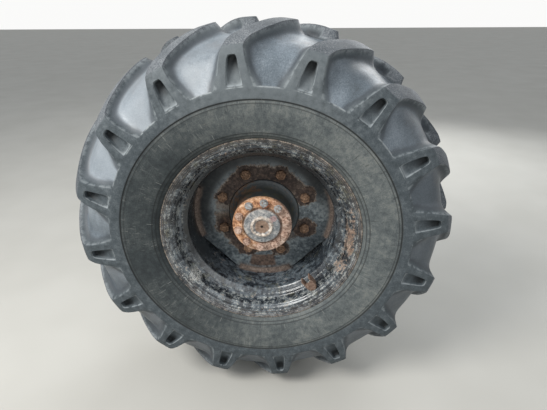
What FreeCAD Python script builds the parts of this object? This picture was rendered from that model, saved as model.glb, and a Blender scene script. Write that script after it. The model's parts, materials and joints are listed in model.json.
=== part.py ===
import FreeCAD, Part
import math
import os

import Sketcher
from FreeCAD import Placement, Rotation, Vector

# Dumper wheel with its hub on the end of an axle. Millimetres and degrees.
# The axle lies along Y, the outer side of the wheel faces -Y and +Z is up.
# The origin is the centre of the axle casing's mounting face.
# Stations along Y are counted from the tyre's centre plane, outboard negative.
SIZES = (
    # name, value, what it is
    ("mount_station", 235, "mounting face of the axle casing"),
    ("seat_gap", 0.3, "gap between pieces that are clamped or seated"),
    ("running_gap", 0.05, "radial gap of the bearings on the spindle"),
    ("moving_gap", 6, "gap between still and turning pieces"),

    ("crown_r", 562, "lug tops at the middle of the tread"),
    ("shoulder_drop", 56, "fall of the lug tops at the shoulder"),
    ("shoulder_half", 190, "half width over the lugs' outer corners"),
    ("section_half", 205, "half width of the tyre"),
    ("lug_depth", 39, "height of a lug in the middle of the tread"),
    ("lug_foot_r", 413, "foot of a lug's end face on the sidewall"),
    ("sidewall_r", 330, "inner edge of the sidewall's flat"),
    ("lug_count", 16, "lugs on each side"),
    ("lug_phase", 7, "angle of one lug end above +X"),
    ("lug_sweep", 15.5, "angle a lug runs on from its end to its tip"),
    ("lug_lead", 6, "angle from a lug's end to the direction that its outline stands in"),
    ("lug_overlap", 16, "how far a lug's tip passes the centre plane"),
    ("lug_neck", 22, "straight run of a lug inside its end face"),
    ("lug_top_half", 23, "half width of a lug's top"),
    ("lug_height", 92, "height of a lug's outline, most of it inside the casing"),
    ("lug_draft", 0.25, "widening of a lug for each unit of depth"),
    ("lug_end_step", 2.5, "how far the foot of a lug's end stays inside the sidewall"),
    ("pocket_foot_r", 418, "foot of the recess in a lug's end"),
    ("pocket_top_r", 490, "top of the recess"),
    ("pocket_foot_half", 20, "half width of the recess at its foot"),
    ("pocket_top_half", 11, "half width of the recess at its top"),
    ("pocket_depth", 24, "depth of the recess at its top"),

    ("rim_half", 165, "bead flange of the rim"),
    ("rim_lip_half", 178, "outer edge of the rim's lip"),
    ("rim_lip_r", 283, "outside of the rim's lip"),
    ("rim_lip_plate", 6, "edge of the rim's lip"),
    ("rim_lip_rise", 13, "height of the flared part of the lip"),
    ("bead_seat_r", 254, "bead seat"),
    ("well_r", 216, "inside of the well"),
    ("rim_wall", 8, "plate of the rim"),
    ("well_out", 118, "outboard side of the well"),
    ("well_in", 70, "inboard side of the well"),
    ("well_slope", 18, "run of the slopes beside the well"),

    ("disc_face", 20, "outer face of the disc, outboard of the centre plane"),
    ("disc_plate", 16, "thickness of the disc"),
    ("disc_flat", 204, "distance of the disc's four flats from the axis"),
    ("pilot_r", 110, "pilot of the hub in the disc's bore"),
    ("weld_leg", 9, "leg of the disc's weld"),
    ("weld_angle", 46, "angle of one run of weld"),

    ("stud_circle_r", 137.5, "circle of the wheel studs"),
    ("stud_count", 8, "wheel studs"),
    ("stud_r", 10, "wheel stud"),
    ("stud_play", 1, "play of a stud in the disc"),
    ("stud_stand", 2, "how far a stud stands out of its nut"),
    ("nut_half_flat", 14, "half width across a nut's flats"),
    ("nut_stand", 11, "height of a nut over the disc"),

    ("hub_flange_r", 166, "flange of the hub"),
    ("hub_flange_plate", 22, "thickness of the hub's flange"),
    ("pilot_stand", 1, "how far the hub's pilot stands out of the disc"),
    ("hub_foot", 14, "spread and run of the foot of the hub's barrel"),
    ("hub_wall", 12, "wall of the hub round the inner bearing"),
    ("barrel_r", 87, "barrel of the hub"),
    ("drive_face", 108, "outer face of the drive flange"),
    ("drive_plate", 16, "thickness of the drive flange"),
    ("drive_r", 88, "drive flange"),
    ("drive_bolt_circle_r", 72.5, "circle of the drive flange bolts"),
    ("drive_bolt_count", 10, "bolts of the drive flange"),
    ("drive_bolt_phase", 5, "angle of one such bolt from straight up, clockwise"),
    ("drive_bolt_half", 9.5, "half width across the flats of a bolt head"),
    ("drive_bolt_head", 8, "height of a bolt head"),
    ("boss_r", 54, "raised boss of the drive flange"),
    ("boss_stand", 8, "height of the boss over the drive flange"),
    ("centre_r", 31, "raised centre of the boss"),
    ("centre_stand", 4, "height of the raised centre"),
    ("shaft_r", 22, "half shaft"),
    ("shaft_end_back", 12, "end of the half shaft behind the mounting face"),

    ("bearing_r", 50, "spindle at the bearings"),
    ("bearing_section", 24, "radial height of a bearing"),
    ("bearing_width", 30, "width of a bearing"),
    ("outer_bearing_back", 12, "outer bearing behind the end of the barrel"),
    ("inner_bearing_back", 6, "inner bearing behind the hub's flange"),
    ("bearing_lip", 2, "hub beyond the inner bearing"),
    ("spindle_end_back", 14, "end of the spindle behind the end of the barrel"),
    ("spindle_bore_r", 30, "bore of the spindle"),
    ("spindle_flange_r", 118, "flange of the spindle"),
    ("spindle_flange_plate", 16, "thickness of the spindle's flange"),

    ("drum_r", 196, "outside of the brake drum"),
    ("drum_wall", 16, "wall of the brake drum"),
    ("drum_web", 12, "web of the brake drum"),
    ("drum_bevel", 8, "bevel of the drum's closed end"),
    ("drum_end", 138, "open end of the brake drum"),
    ("backplate_plate", 5, "backplate"),
    ("backplate_lap", 12, "how far the backplate's edge laps over the drum"),
    ("backplate_edge", 4, "thickness of that edge"),

    ("casing_flange_plate", 16, "flange of the axle casing at the backplate"),
    ("casing_bolt_count", 8, "bolts of spindle, backplate and casing"),
    ("casing_bolt_circle_r", 100, "circle of those bolts"),
    ("casing_bolt_half", 11, "half width across the flats of their heads"),
    ("casing_bolt_head", 9, "height of their heads"),
    ("casing_neck_r", 78, "neck of the axle casing"),
    ("casing_foot", 14, "spread and run of the neck's foot on the mounting flange"),
    ("casing_bore_r", 44, "bore of the axle casing"),
    ("mount_flange_r", 135, "mounting flange of the axle casing"),
    ("mount_flange_plate", 20, "thickness of the mounting flange"),
    ("mount_circle_r", 114, "circle of the mounting holes"),
    ("mount_hole_count", 10, "mounting holes"),
    ("mount_hole_r", 8.5, "mounting hole"),

    ("valve_angle", -50, "angle of the valve above +X"),
    ("valve_r", 5, "valve stem"),
    ("valve_rise", 13, "height of the valve over the bottom of the well"),
    ("valve_stand", 40, "how far the valve runs outboard of the well"),
    ("guard_plate", 4, "plate of the valve guard"),
    ("guard_half", 15, "half width of the valve guard"),
    ("guard_depth", 44, "how far the valve guard reaches in from the rim"),
    ("guard_length", 24, "length of the valve guard along the axle"),
)

os.makedirs("parts", exist_ok=True)
doc = FreeCAD.newDocument("dumper_wheel")
sheet = doc.addObject("Spreadsheet::Sheet", "Sizes")
for row, (alias, value, meaning) in enumerate(SIZES, start=1):
    sheet.set(f"A{row}", alias)
    sheet.set(f"B{row}", str(value))
    sheet.set(f"C{row}", meaning)
    sheet.setAlias(f"B{row}", alias)
doc.recompute()


class Size:
    """A length, an angle or a count from the sheet, as a number and as the formula that binds it."""

    def __init__(self, number, formula):
        self.number = number
        self.formula = formula

    def __add__(self, other):
        other = as_size(other)
        return Size(self.number + other.number, f"({self.formula} + {other.formula})")

    def __sub__(self, other):
        other = as_size(other)
        return Size(self.number - other.number, f"({self.formula} - {other.formula})")

    def __mul__(self, other):
        other = as_size(other)
        return Size(self.number * other.number, f"({self.formula} * {other.formula})")

    def __truediv__(self, other):
        other = as_size(other)
        return Size(self.number / other.number, f"({self.formula} / {other.formula})")

    def __rsub__(self, other):
        return as_size(other) - self

    def __rtruediv__(self, other):
        return as_size(other) / self

    def __neg__(self):
        return Size(-self.number, f"(0 - {self.formula})")

    __radd__ = __add__
    __rmul__ = __mul__


def as_size(value):
    return value if isinstance(value, Size) else Size(float(value), str(value))


def cell(alias):
    return Size(float(sheet.get(alias)), f"Sizes.{alias}")


def cosine(angle):
    return Size(math.cos(math.radians(angle.number)), f"cos({angle.formula})")


def sine(angle):
    return Size(math.sin(math.radians(angle.number)), f"sin({angle.formula})")


def bind(thing, target, size):
    thing.setExpression(target, size.formula)


mount_station = cell("mount_station")
seat_gap = cell("seat_gap")
running_gap = cell("running_gap")
moving_gap = cell("moving_gap")


def new_body(label, turn=None):
    """A body at the tyre's centre plane, turned about the axle by an angle."""
    body = doc.addObject("PartDesign::Body", label)
    body.Label = label
    angle = turn.number if turn else 0
    body.Placement = Placement(Vector(0, -mount_station.number, 0), Rotation(Vector(0, -1, 0), angle))
    bind(body, "Placement.Base.y", -mount_station)
    if turn:
        bind(body, "Placement.Rotation.Angle", turn)
    return body


def origin_of(body, role):
    return next(item for item in body.Origin.OriginFeatures if item.Role == role)


def sketch_on(body, name, role, offset=None):
    """An empty sketch on one of the body's own planes, moved along its normal."""
    sketch = body.newObject("Sketcher::SketchObject", name)
    sketch.AttachmentSupport = (origin_of(body, role), [""])
    sketch.MapMode = "FlatFace"
    if offset is not None:
        sketch.AttachmentOffset = Placement(Vector(0, 0, offset.number), Rotation())
        bind(sketch, "AttachmentOffset.Base.z", offset)
    return sketch


def closed_sketch(body, name, role, corners, offset=None):
    """A closed outline of straight lines through the corners."""
    sketch = sketch_on(body, name, role, offset)
    corners = [(as_size(across), as_size(up)) for across, up in corners]
    spots = [Vector(across.number, up.number, 0) for across, up in corners]
    for index, spot in enumerate(spots):
        sketch.addGeometry(Part.LineSegment(spot, spots[(index + 1) % len(spots)]), False)
    for index in range(len(spots)):
        sketch.addConstraint(Sketcher.Constraint("Coincident", index, 2, (index + 1) % len(spots), 1))
    for index, corner in enumerate(corners):
        for kind, size in zip(("DistanceX", "DistanceY"), corner):
            place = sketch.addConstraint(Sketcher.Constraint(kind, -1, 1, index, 1, size.number))
            bind(sketch, f"Constraints[{place}]", size)
    return sketch


def circle_sketch(body, name, centre, radius, offset):
    """A circle across the axle, moved along it."""
    sketch = sketch_on(body, name, "XZ_Plane", offset)
    across, up = (as_size(value) for value in centre)
    middle = Vector(across.number, up.number, 0)
    sketch.addGeometry(Part.Circle(middle, Vector(0, 0, 1), radius.number), False)
    for kind, size in (("DistanceX", across), ("DistanceY", up)):
        place = sketch.addConstraint(Sketcher.Constraint(kind, -1, 1, 0, 3, size.number))
        bind(sketch, f"Constraints[{place}]", size)
    place = sketch.addConstraint(Sketcher.Constraint("Radius", 0, radius.number))
    bind(sketch, f"Constraints[{place}]", radius)
    return sketch


def turned(body, name, corners, kind="PartDesign::Revolution"):
    """A solid of revolution about the axle: corners are pairs of station and radius."""
    sketch = closed_sketch(body, name + "_outline", "YZ_Plane", corners)
    solid = body.newObject(kind, name)
    solid.Profile = sketch
    solid.ReferenceAxis = (sketch, ["H_Axis"])
    solid.Angle = 360
    doc.recompute()
    return solid


def padded(body, name, sketch, length):
    """A solid drawn out of a sketch along its normal."""
    solid = body.newObject("PartDesign::Pad", name)
    solid.Profile = sketch
    bind(solid, "Length", length)
    doc.recompute()
    return solid


def slanted(body, name, sketch, run, length):
    """A prism drawn out of a sketch along a slanting run, as long as given across the sketch."""
    solid = body.newObject("PartDesign::Pad", name)
    solid.Profile = sketch
    solid.UseCustomVector = True
    solid.Direction = Vector(*(size.number for size in run))
    for axis, size in zip("xyz", run):
        bind(solid, f"Direction.{axis}", size)
    solid.AlongSketchNormal = True
    bind(solid, "Length", length)
    doc.recompute()
    return solid


def pierced(body, name, centre, radius, station, length):
    """A round hole along the axle, cut towards +Y from a station."""
    cut = body.newObject("PartDesign::Pocket", name)
    cut.Profile = circle_sketch(body, name + "_outline", centre, radius, -station)
    bind(cut, "Length", length)
    doc.recompute()
    return cut


def ring_of(body, name, features, count):
    """Copies of some features in a ring about the axle."""
    ring = body.newObject("PartDesign::PolarPattern", name)
    ring.Originals = features
    ring.Axis = (origin_of(body, "Y_Axis"), [""])
    ring.Angle = 360
    ring.Occurrences = int(count.number)
    bind(ring, "Occurrences", count)
    body.Tip = ring
    doc.recompute()
    return ring


def swung(radius, aside, turn):
    """Place of a point at a radius and a distance aside, turned clockwise from straight up."""
    return (
        radius * sine(turn) - aside * cosine(turn),
        radius * cosine(turn) + aside * sine(turn),
    )


def hexagon(circle_r, half_flat, turn):
    """Corners of a hexagon round a point on a circle, with two flats along the circle's radius."""
    corner_r = half_flat / math.cos(math.radians(30))
    return [
        swung(circle_r + corner_r * math.cos(math.radians(way)), corner_r * math.sin(math.radians(way)), turn)
        for way in range(0, 360, 60)
    ]


# Tyre

crown_r = cell("crown_r")
shoulder_half = cell("shoulder_half")
shoulder_drop = cell("shoulder_drop")
shoulder_r = crown_r - shoulder_drop
section_half = cell("section_half")
floor_r = crown_r - cell("lug_depth")
lug_foot_r = cell("lug_foot_r")
lug_foot_half = section_half - cell("lug_end_step")
rim_half = cell("rim_half")
rim_lip_half = cell("rim_lip_half")
rim_lip_r = cell("rim_lip_r")
bead_seat_r = cell("bead_seat_r")
rim_flare_r = rim_lip_r - cell("rim_lip_rise")


def tyre_outline():
    """Half section of the tyre and its mirror: tread floor, void slope, flat sidewall and bead."""
    fall = floor_r - lug_foot_r
    half = [
        (shoulder_half * 0.44, floor_r),
        (shoulder_half * 0.82, floor_r - fall * 0.3),
        (section_half, lug_foot_r),
        (section_half, cell("sidewall_r")),
        (rim_half - seat_gap, rim_flare_r + 1),
        (rim_half - seat_gap, bead_seat_r + seat_gap),
    ]
    return half + [(-station, radius) for station, radius in reversed(half)]


def lug_course(side, phase):
    """Stations of a lug's end, neck, bend and tip, with the outline across the lug at each.

    side is -1 outboard and +1 inboard. The outline keeps its shape: it only shifts and rises.
    """
    neck_half = shoulder_half - cell("lug_neck")
    steepness = shoulder_drop * 0.5 / (shoulder_half * 0.2)
    top_half = cell("lug_top_half")
    height = cell("lug_height")
    foot_half = top_half + height * cell("lug_draft")
    lead = cell("lug_lead")
    course = []
    # columns: station, share of the sweep, radius of the top
    for station, share, top_r in (
        (lug_foot_half, 0, shoulder_r - (lug_foot_half - shoulder_half) * steepness),
        (neck_half, 0, shoulder_r + (shoulder_half - neck_half) * steepness),
        (shoulder_half * 0.42, 0.62, crown_r - shoulder_drop * 0.13),
        (-cell("lug_overlap"), 1, crown_r),
    ):
        turn = cell("lug_sweep") * share - lead
        level = top_r * cosine(turn)
        middle = top_r * sine(turn)
        course.append((station * side, [
            swung(radius, aside - middle, phase + lead)
            for radius, aside in (
                (level, top_half),
                (level - height, foot_half),
                (level - height, -foot_half),
                (level, -top_half),
            )
        ]))
    return course


def lug_arms(tyre, word, side, phase):
    """The three arms of a lug, each drawn from one station to the next."""
    course = lug_course(side, phase)
    arms = []
    for arm, (near, far) in zip(("neck", "arm", "tip"), zip(course, course[1:])):
        outline = closed_sketch(tyre, f"{word}_{arm}_outline", "XZ_Plane", near[1], -near[0])
        (across, up), (far_across, far_up) = near[1][0], far[1][0]
        run = (far_across - across, far[0] - near[0], far_up - up)
        arms.append(slanted(tyre, f"{word}_{arm}", outline, run, (far[0] - near[0]) * -side))
    return arms


def lug_end_cuts(tyre, word, side, phase):
    """The slope of a lug's end face and the recess in it, shallow at its foot and deep at its top."""
    slope_foot_r = lug_foot_r + 11
    slope = (lug_foot_half - shoulder_half) / (shoulder_r - slope_foot_r)
    end_half = cell("lug_top_half") * 3
    return [
        wedge_cut(tyre, f"{word}_end_face", side, phase, (
            (slope_foot_r, end_half, lug_foot_half),
            (crown_r, end_half, lug_foot_half - (crown_r - slope_foot_r) * slope),
        )),
        wedge_cut(tyre, f"{word}_recess", side, phase, (
            (cell("pocket_foot_r"), cell("pocket_foot_half"), lug_foot_half - 1),
            (cell("pocket_top_r"), cell("pocket_top_half"), shoulder_half - cell("pocket_depth")),
        )),
    ]


def wedge_cut(tyre, name, side, phase, ends):
    """A wedge that tapers outward along a radius, open past the sidewall.

    Each end is its radius, its half width and the station of the face that it leaves.
    """
    cut = tyre.newObject("PartDesign::SubtractiveWedge", name)
    cut.AttachmentSupport = (origin_of(tyre, "YZ_Plane"), [""])
    cut.MapMode = "FlatFace"
    if phase.number:
        cut.AttachmentOffset = Placement(Vector(), Rotation(Vector(1, 0, 0), phase.number))
        bind(cut, "AttachmentOffset.Rotation.Angle", phase)
    mouth = (section_half + 5) * side
    for (radius, half, station), level, mark in zip(ends, ("Ymin", "Ymax"), ("", "2")):
        near, far = sorted((station * side, mouth), key=lambda size: size.number)
        for target, size in (
            (level, radius),
            (f"X{mark}min", near),
            (f"X{mark}max", far),
            (f"Z{mark}min", -half),
            (f"Z{mark}max", half),
        ):
            setattr(cut, target, size.number)
            bind(cut, target, size)
    doc.recompute()
    return cut


def make_tyre():
    """Casing, solid inside, with two rows of lugs in a V."""
    tyre = new_body("tyre", cell("lug_phase"))
    turned(tyre, "tyre_section", tyre_outline())
    lug_count = cell("lug_count")
    rows = (("outer", -1, as_size(0)), ("inner", 1, 180 / lug_count))
    arms = [arm for word, side, phase in rows for arm in lug_arms(tyre, word, side, phase)]
    ring_of(tyre, "lug_ring", arms, lug_count)
    for word, side, phase in rows:
        ring_of(tyre, f"{word}_end_ring", lug_end_cuts(tyre, word, side, phase), lug_count)
    return tyre


# Rim, disc and welds

well_r = cell("well_r")
well_out = cell("well_out")
well_slope = cell("well_slope")
rim_wall = cell("rim_wall")
seat_inside_r = bead_seat_r - rim_wall
valve_turn = 90 - cell("valve_angle")
valve_circle_r = well_r + cell("valve_rise")
valve_r = cell("valve_r")


def make_rim():
    """Drop-centre rim: the tyre's side from lip to lip, then back along the axle's side."""
    rim = new_body("rim")
    well_in = cell("well_in")
    lip_edge_r = rim_lip_r - cell("rim_lip_plate")
    turned(rim, "rim_section", [
        (-rim_lip_half, rim_lip_r),
        (-rim_half, rim_flare_r),
        (-rim_half, bead_seat_r),
        (-well_out - well_slope, bead_seat_r),
        (-well_out - 2, well_r + rim_wall),
        (well_in + 2, well_r + rim_wall),
        (well_in + well_slope, bead_seat_r),
        (rim_half, bead_seat_r),
        (rim_half, rim_flare_r),
        (rim_lip_half, rim_lip_r),
        (rim_lip_half, lip_edge_r),
        (rim_half - 1, seat_inside_r),
        (well_in + well_slope - 2, seat_inside_r),
        (well_in, well_r),
        (-well_out, well_r),
        (-well_out - well_slope + 2, seat_inside_r),
        (-rim_half + 1, seat_inside_r),
        (-rim_lip_half, lip_edge_r),
    ])
    middle = swung(valve_circle_r, 0, valve_turn)
    hole_start = -well_out - well_slope * 1.5
    pierced(rim, "valve_hole", middle, valve_r + seat_gap, hole_start, well_slope * 1.7)
    return rim


disc_face = cell("disc_face")
disc_plate = cell("disc_plate")
disc_back = disc_face - disc_plate
disc_r = well_r - seat_gap
pilot_r = cell("pilot_r")
stud_circle_r = cell("stud_circle_r")
stud_count = cell("stud_count")
stud_r = cell("stud_r")
stud_phase = 180 / stud_count


def make_wheel_disc():
    """Plate with four flats at the diagonals, a bore for the hub's pilot and stud holes."""
    disc = new_body("wheel_disc")
    turned(disc, "disc_section", [
        (-disc_face, pilot_r + seat_gap),
        (-disc_back, pilot_r + seat_gap),
        (-disc_back, disc_r),
        (-disc_face, disc_r),
    ])
    flat_r = disc_r - (well_r - cell("disc_flat"))
    reach = disc_r * 2
    diagonal = as_size(45)
    cut = disc.newObject("PartDesign::Pocket", "flat")
    cut.Profile = closed_sketch(disc, "flat_outline", "XZ_Plane", [
        swung(flat_r, -reach, diagonal),
        swung(flat_r, reach, diagonal),
        swung(reach, reach, diagonal),
        swung(reach, -reach, diagonal),
    ], disc_face + 1)
    bind(cut, "Length", disc_plate + 2)
    doc.recompute()
    ring_of(disc, "flats", [cut], as_size(4))
    middle = swung(stud_circle_r, 0, stud_phase)
    hole = pierced(disc, "stud_hole", middle, stud_r + cell("stud_play"), -disc_face - 1, disc_plate + 2)
    ring_of(disc, "stud_holes", [hole], stud_count)
    return disc


def make_disc_welds():
    """Four runs of weld in the corner between the disc's face and the well, none at the flats."""
    welds = new_body("disc_welds")
    leg = cell("weld_leg")
    outline = closed_sketch(welds, "bead_outline", "YZ_Plane", [
        (-disc_face - seat_gap, disc_r),
        (-disc_face - leg, disc_r),
        (-disc_face - seat_gap, disc_r - leg),
    ])
    bead = welds.newObject("PartDesign::Revolution", "bead")
    bead.Profile = outline
    bead.ReferenceAxis = (outline, ["H_Axis"])
    bead.Midplane = True
    bind(bead, "Angle", cell("weld_angle"))
    doc.recompute()
    ring_of(welds, "beads", [bead], as_size(4))
    return welds


# Studs and nuts

nut_stand = cell("nut_stand")


def make_wheel_studs():
    """Studs from the face of the hub's flange through the disc and out of the nuts."""
    studs = new_body("wheel_studs")
    middle = swung(stud_circle_r, 0, stud_phase)
    foot = -disc_back + seat_gap
    length = disc_plate + seat_gap + nut_stand + cell("stud_stand")
    outline = circle_sketch(studs, "stud_outline", middle, stud_r, -foot)
    ring_of(studs, "ring", [padded(studs, "stud", outline, length)], stud_count)
    return studs


def make_wheel_nuts():
    nuts = new_body("wheel_nuts")
    outline = closed_sketch(
        nuts, "hexagon", "XZ_Plane",
        hexagon(stud_circle_r, cell("nut_half_flat"), stud_phase), disc_face + seat_gap,
    )
    block = padded(nuts, "block", outline, nut_stand - seat_gap)
    middle = swung(stud_circle_r, 0, stud_phase)
    bore = pierced(nuts, "thread", middle, stud_r + seat_gap, -disc_face - nut_stand - 1, nut_stand + 2)
    ring_of(nuts, "ring", [block, bore], stud_count)
    return nuts


# Hub, bearings and half shaft

barrel_r = cell("barrel_r")
drive_face = cell("drive_face")
drive_plate = cell("drive_plate")
drive_r = cell("drive_r")
bearing_r = cell("bearing_r")
bearing_width = cell("bearing_width")
hub_bore_r = bearing_r + cell("bearing_section")
hub_back_r = hub_bore_r + cell("hub_wall")
hub_back = cell("hub_flange_plate") - disc_back
barrel_end = drive_face - drive_plate
outer_bearing_at = barrel_end - cell("outer_bearing_back")
inner_bearing_at = hub_back + cell("inner_bearing_back")
hub_end = inner_bearing_at + bearing_width + cell("bearing_lip")


def make_hub():
    hub = new_body("hub")
    foot = cell("hub_foot")
    pilot_face = disc_face + cell("pilot_stand")
    flange_face = -disc_back + seat_gap
    hub_flange_r = cell("hub_flange_r")
    turned(hub, "hub_section", [
        (-barrel_end, barrel_r),
        (-pilot_face - foot, barrel_r),
        (-pilot_face - 1, barrel_r + foot),
        (-pilot_face, pilot_r),
        (flange_face, pilot_r),
        (flange_face, hub_flange_r),
        (hub_back, hub_flange_r),
        (hub_back, hub_back_r),
        (hub_end, hub_back_r),
        (hub_end, hub_bore_r),
        (-barrel_end, hub_bore_r),
    ])
    return hub


def make_bearings():
    bearings = new_body("wheel_bearings")
    for word, station in (("outer", -outer_bearing_at), ("inner", inner_bearing_at)):
        turned(bearings, word, [
            (station, bearing_r + running_gap),
            (station + bearing_width, bearing_r + running_gap),
            (station + bearing_width, hub_bore_r - seat_gap),
            (station, hub_bore_r - seat_gap),
        ])
    return bearings


drive_bolt_circle_r = cell("drive_bolt_circle_r")
drive_bolt_count = cell("drive_bolt_count")


def make_half_shaft():
    """Drive flange with its boss, on the shaft that runs back through the spindle."""
    shaft = new_body("half_shaft")
    boss_r = cell("boss_r")
    boss_face = drive_face + cell("boss_stand")
    centre_r = cell("centre_r")
    centre_face = boss_face + cell("centre_stand")
    shaft_r = cell("shaft_r")
    seat = barrel_end + seat_gap
    far = mount_station - cell("shaft_end_back")
    turned(shaft, "shaft_section", [
        (-centre_face, 0),
        (-centre_face, centre_r * 0.6),
        (-boss_face, centre_r),
        (-boss_face, boss_r - 2),
        (-drive_face, boss_r),
        (-drive_face, drive_r),
        (-seat, drive_r),
        (-seat, shaft_r),
        (far, shaft_r),
        (far, 0),
    ])
    return shaft


def make_flange_bolts():
    """Heads of the drive flange's bolts."""
    bolts = new_body("flange_bolts")
    outline = closed_sketch(
        bolts, "head_outline", "XZ_Plane",
        hexagon(drive_bolt_circle_r, cell("drive_bolt_half"), cell("drive_bolt_phase")),
        drive_face + seat_gap,
    )
    ring_of(bolts, "ring", [padded(bolts, "head", outline, cell("drive_bolt_head"))], drive_bolt_count)
    return bolts


# Brake

drum_r = cell("drum_r")
drum_end = cell("drum_end")
drum_face = hub_back + seat_gap
drum_back = drum_face + cell("drum_web")


def make_brake_drum():
    drum = new_body("brake_drum")
    bore_r = hub_back_r + seat_gap
    bevel = cell("drum_bevel")
    inside_r = drum_r - cell("drum_wall")
    turned(drum, "drum_section", [
        (drum_face, bore_r),
        (drum_face, drum_r - bevel),
        (drum_face + bevel, drum_r),
        (drum_end, drum_r),
        (drum_end, inside_r),
        (drum_back, inside_r),
        (drum_back, bore_r),
    ])
    return drum


# Axle end: spindle, backplate, casing and bolts

plate_face = drum_end + moving_gap
plate_back = plate_face + cell("backplate_plate")
spindle_flange_r = cell("spindle_flange_r")
casing_bore_r = cell("casing_bore_r")
casing_face = plate_back + seat_gap
casing_flange_back = casing_face + cell("casing_flange_plate")


def make_axle_spindle():
    spindle = new_body("axle_spindle")
    bore_r = cell("spindle_bore_r")
    end = barrel_end - cell("spindle_end_back")
    flange_face = plate_face - cell("spindle_flange_plate")
    turned(spindle, "spindle_section", [
        (-end, bore_r),
        (-end, bearing_r),
        (flange_face, bearing_r),
        (flange_face, spindle_flange_r),
        (plate_face - seat_gap, spindle_flange_r),
        (plate_face - seat_gap, bore_r),
    ])
    return spindle


def make_backplate():
    """Plate behind the drum with an edge that laps over it."""
    plate = new_body("brake_backplate")
    inside_r = drum_r + moving_gap
    edge_r = inside_r + cell("backplate_edge")
    lap = drum_end - cell("backplate_lap")
    turned(plate, "plate_section", [
        (plate_face, casing_bore_r),
        (plate_face, inside_r),
        (lap, inside_r),
        (lap, edge_r),
        (plate_back, edge_r),
        (plate_back, casing_bore_r),
    ])
    return plate


def make_axle_casing():
    casing = new_body("axle_casing")
    neck_r = cell("casing_neck_r")
    foot = cell("casing_foot")
    flange_r = cell("mount_flange_r")
    flange_plate = cell("mount_flange_plate")
    flange_front = mount_station - flange_plate
    turned(casing, "casing_section", [
        (casing_face, casing_bore_r),
        (casing_face, spindle_flange_r),
        (casing_flange_back, spindle_flange_r),
        (casing_flange_back, neck_r),
        (flange_front - foot, neck_r),
        (flange_front, neck_r + foot),
        (flange_front, flange_r),
        (mount_station, flange_r),
        (mount_station, casing_bore_r),
    ])
    mount_hole_count = cell("mount_hole_count")
    middle = swung(cell("mount_circle_r"), 0, 180 / mount_hole_count)
    hole = pierced(casing, "mount_hole", middle, cell("mount_hole_r"), flange_front - 1, flange_plate + 2)
    ring_of(casing, "mount_holes", [hole], mount_hole_count)
    return casing


def make_casing_bolts():
    """Heads of the bolts that hold spindle and backplate to the casing."""
    bolts = new_body("casing_bolts")
    height = cell("casing_bolt_head")
    outline = closed_sketch(
        bolts, "head_outline", "XZ_Plane",
        hexagon(cell("casing_bolt_circle_r"), cell("casing_bolt_half"), as_size(0)),
        -(casing_flange_back + seat_gap + height),
    )
    ring_of(bolts, "ring", [padded(bolts, "head", outline, height)], cell("casing_bolt_count"))
    return bolts


# Valve

def make_valve_stem():
    """A straight stem through its hole in the slope of the well."""
    stem = new_body("valve_stem")
    middle = swung(valve_circle_r, 0, valve_turn)
    outline = circle_sketch(stem, "stem_outline", middle, valve_r, well_out - 2)
    padded(stem, "stem", outline, cell("valve_stand") + 2)
    return stem


def make_valve_guard():
    """A folded channel that stands in from the bead seat over the valve, open towards the hub."""
    guard = new_body("valve_guard")
    plate = cell("guard_plate")
    half = cell("guard_half")
    foot_r = seat_inside_r - seat_gap - 0.5
    tip_r = foot_r - cell("guard_depth")
    fold = half * 0.4
    inner_fold = fold + plate * 0.4
    half_outline = [
        (tip_r, half - plate),
        (tip_r, half),
        (foot_r - fold, half),
        (foot_r, half - fold),
    ]
    half_inline = [
        (foot_r - plate, half - inner_fold),
        (foot_r - inner_fold, half - plate),
    ]
    outline = closed_sketch(guard, "guard_outline", "XZ_Plane", [
        swung(radius, aside, valve_turn)
        for radius, aside in half_outline
        + [(radius, -aside) for radius, aside in reversed(half_outline)]
        + [(radius, -aside) for radius, aside in reversed(half_inline)]
        + half_inline
    ], well_out + well_slope + 2)
    padded(guard, "guard", outline, cell("guard_length"))
    return guard


pieces = [
    make_tyre(),
    make_rim(),
    make_wheel_disc(),
    make_disc_welds(),
    make_wheel_studs(),
    make_wheel_nuts(),
    make_hub(),
    make_bearings(),
    make_half_shaft(),
    make_flange_bolts(),
    make_brake_drum(),
    make_axle_spindle(),
    make_backplate(),
    make_axle_casing(),
    make_casing_bolts(),
    make_valve_stem(),
    make_valve_guard(),
]
doc.recompute()

for thing in doc.Objects:
    if "Invalid" in thing.State or "Error" in thing.State:
        raise ValueError(f"{thing.Label} did not build: {thing.State}")
for piece in pieces:
    if piece.Shape.isNull() or not piece.Shape.isValid():
        raise ValueError(f"{piece.Label} is not a sound solid")
for piece in pieces:
    piece.Shape.exportStep(f"parts/{piece.Label}.step")
    print(f"{piece.Label:18} {len(piece.Shape.Solids):3} solids {piece.Shape.Volume / 1e6:9.3f} litres")
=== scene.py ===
import json
import math
import random
from functools import reduce

import bmesh
import bpy
from mathutils import Matrix, Vector


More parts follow.
